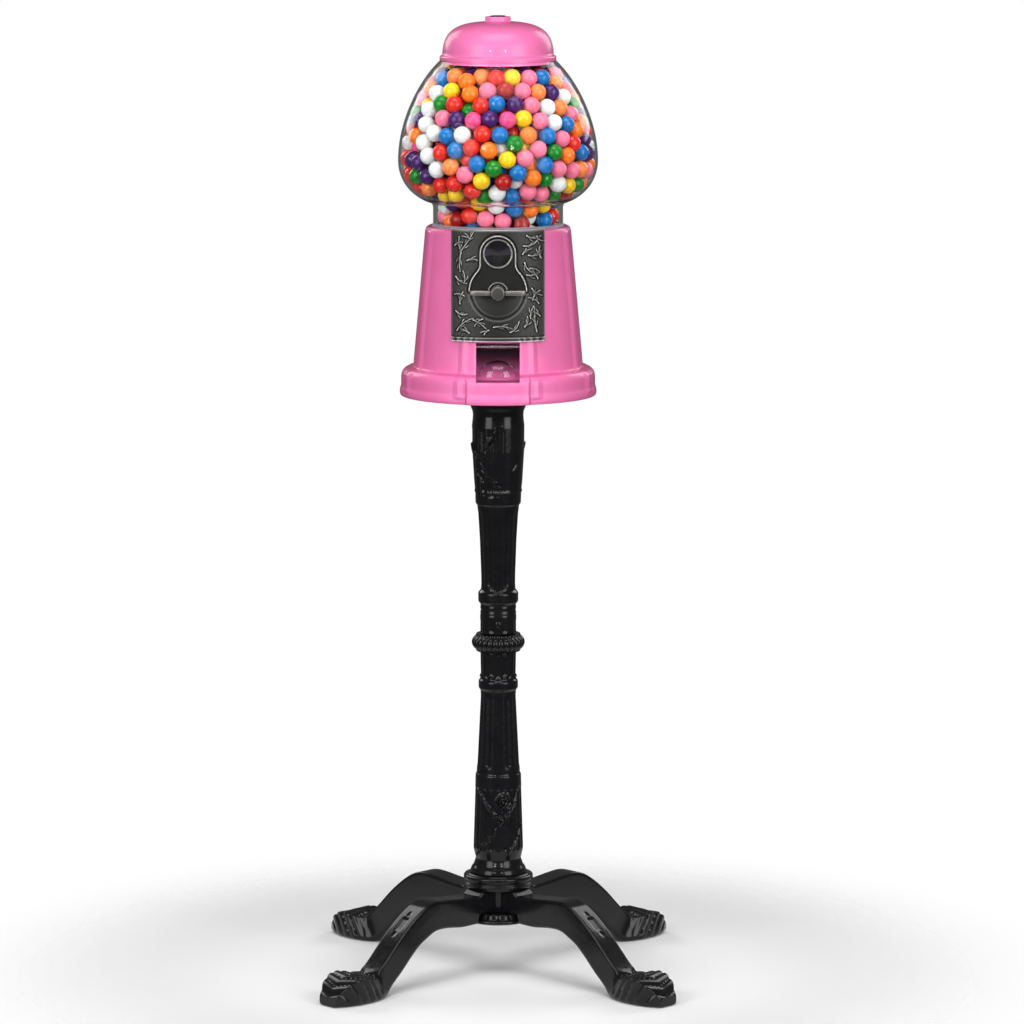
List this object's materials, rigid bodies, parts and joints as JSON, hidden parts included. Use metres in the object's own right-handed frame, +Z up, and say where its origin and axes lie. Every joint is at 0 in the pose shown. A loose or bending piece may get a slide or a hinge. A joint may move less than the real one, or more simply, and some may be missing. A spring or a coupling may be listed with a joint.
{
  "type": "gumball machine",
  "caption": "Gumball machine with a round glass globe over a tapered cast body, coin handle and flap door, standing on a slim cast column with claw-footed legs.",
  "frame": {"origin": "centre of the floor under the column", "axes": "+Z up along the column, coin plate and door face -Y, +X to the right seen from the front"},
  "size_m": [0.3472, 0.3472, 0.9525],
  "materials": {
    "black_iron": "semi-gloss black enamel on cast iron",
    "zinc_steel": "zinc plated steel",
    "pink_coat": "semi-gloss pink powder coat",
    "pewter": "antiqued dark pewter with rubbed bright edges",
    "cast_alloy": "as-cast satin aluminium",
    "brass": "plain turned brass",
    "white_plastic": "moulded white plastic",
    "grey_rubber": "pale grey silicone rubber",
    "clear_glass": "clear blown glass",
    "clear_plastic": "clear moulded plastic",
    "gumballs": "glossy sugar coating in mixed colours",
    "black_lock": "black lock barrel"
  },
  "bodies": {
    "machine": {"stand_hub": "black_iron", "hub_bottom_plate": "black_iron", "lower_column": "black_iron", "column_collar": "black_iron", "upper_column": "black_iron", "leg_front_left": "black_iron", "leg_front_right": "black_iron", "leg_rear_left": "black_iron", "leg_rear_right": "black_iron", "leg_screw_front_left": "zinc_steel", "leg_screw_front_right": "zinc_steel", "leg_screw_rear_left": "zinc_steel", "leg_screw_rear_right": "zinc_steel", "tie_rod": "zinc_steel", "tie_rod_washer": "zinc_steel", "tie_rod_nut": "zinc_steel", "rod_coupling_nut": "zinc_steel", "bank_bottom_plate": "zinc_steel", "mech_bracket": "zinc_steel", "plate_screw_left_low": "zinc_steel", "plate_screw_left_high": "zinc_steel", "plate_screw_right_low": "zinc_steel", "plate_screw_right_high": "zinc_steel", "pawl_pin": "zinc_steel", "pawl_spring": "zinc_steel", "ball_guard": "zinc_steel", "centre_rod": "zinc_steel", "door_pin": "zinc_steel", "body_casting": "pink_coat", "chute": "pink_coat", "coin_plate": "pewter", "hopper": "cast_alloy", "shaft_bushing": "brass", "globe_gasket": "grey_rubber", "globe": "clear_glass", "gumballs": "gumballs"},
    "handle_train": {"handle": "pewter", "handle_shaft": "zinc_steel", "coin_wheel": "zinc_steel", "shaft_nut": "zinc_steel", "drive_pinion": "brass"},
    "gumball_wheel": {"gumball_wheel": "white_plastic"},
    "door": {"chute_door": "clear_plastic"},
    "lid": {"lid": "pink_coat"},
    "lock": {"lock_barrel": "black_lock", "lock_clip": "zinc_steel"},
    "pawl": {"ratchet_pawl": "zinc_steel"}
  },
  "joints": [
    {"name": "handle_turn", "type": "hinge", "parent": "machine", "child": "handle_train", "pos_m": [0, -0.0655, 0.689], "axis": [0, 1, 0], "continuous": true},
    {"name": "wheel_turn", "type": "hinge", "parent": "machine", "child": "gumball_wheel", "pos_m": [0, 0, 0.7], "axis": [0, 0, 1], "continuous": true},
    {"name": "door_swing", "type": "hinge", "parent": "machine", "child": "door", "pos_m": [0, -0.0725, 0.635], "axis": [-1, 0, 0], "range_deg": [0, 60]},
    {"name": "lid_lift", "type": "slide", "parent": "machine", "child": "lid", "axis": [0, 0, 1], "range_m": [0, 0.15]},
    {"name": "lock_turn", "type": "hinge", "parent": "lid", "child": "lock", "pos_m": [0, 0, 0.94], "axis": [0, 0, 1], "range_deg": [0, 90]},
    {"name": "pawl_swing", "type": "hinge", "parent": "machine", "child": "pawl", "pos_m": [0.026, -0.0525, 0.646], "axis": [0, -1, 0], "range_deg": [0, 8], "stiffness_Nm_per_rad": 0.02, "springref_deg": -11.46}
  ],
  "couplings": [
    {"joint": "wheel_turn", "follows": "handle_turn", "ratio": 0.16667}
  ]
}
